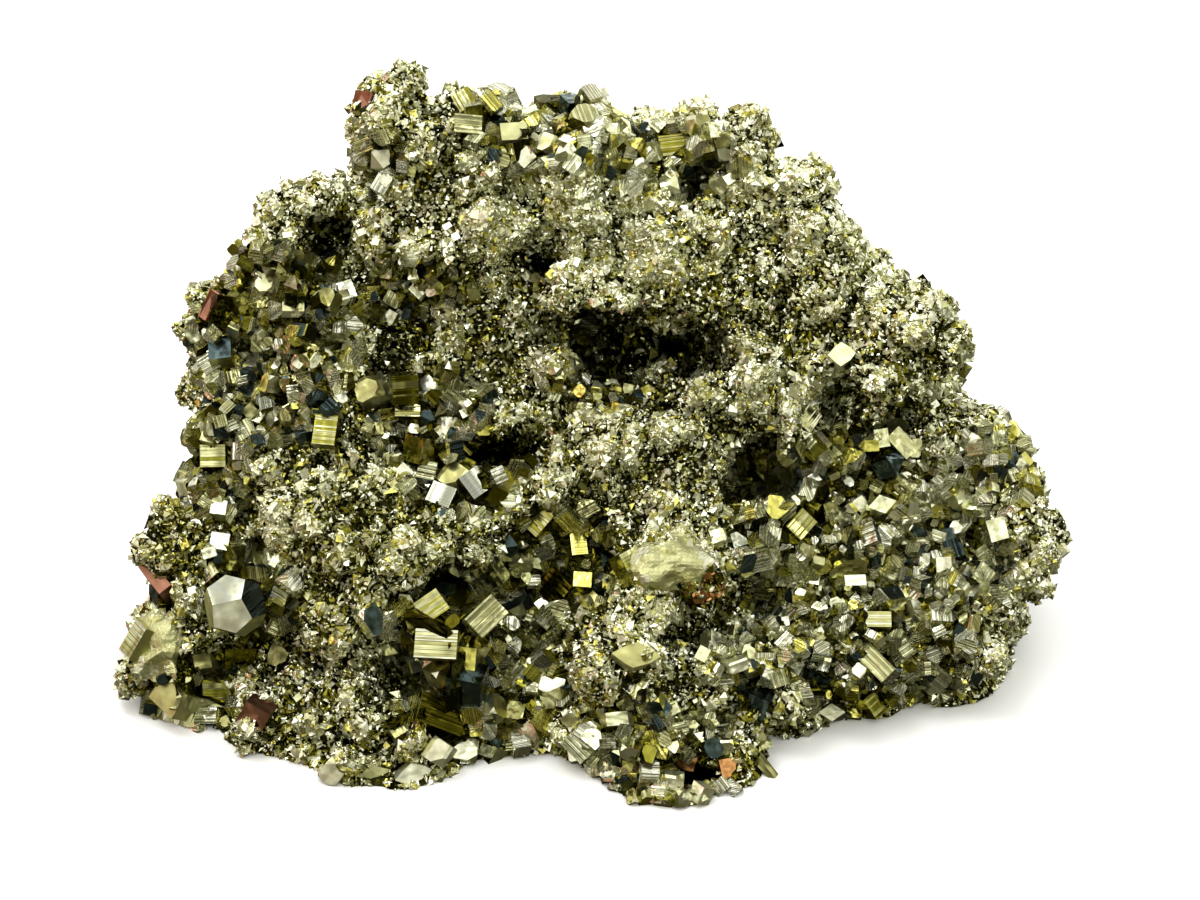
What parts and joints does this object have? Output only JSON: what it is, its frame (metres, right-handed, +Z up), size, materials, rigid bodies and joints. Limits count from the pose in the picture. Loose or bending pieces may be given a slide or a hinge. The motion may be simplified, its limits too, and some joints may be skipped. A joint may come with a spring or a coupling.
{
  "type": "pyrite specimen",
  "caption": "Brassy metallic pyrite specimen: knobbly grain-covered lobes and pockets of small striated block crystals, with dark hollows in its face and a flat broken base to stand on.",
  "frame": {"origin": "centre of the underside of the bounding box, on the surface the specimen rests on", "axes": "+Z up, +X along the longest side, -Y the side the display face looks to, -Z out of the flat broken base"},
  "size_m": [0.1554, 0.102, 0.0927],
  "materials": {
    "pyrite": "brassy metallic crystal faces, some striated"
  },
  "bodies": {
    "root": {"pyrite_cluster": "pyrite"}
  },
  "joints": []
}
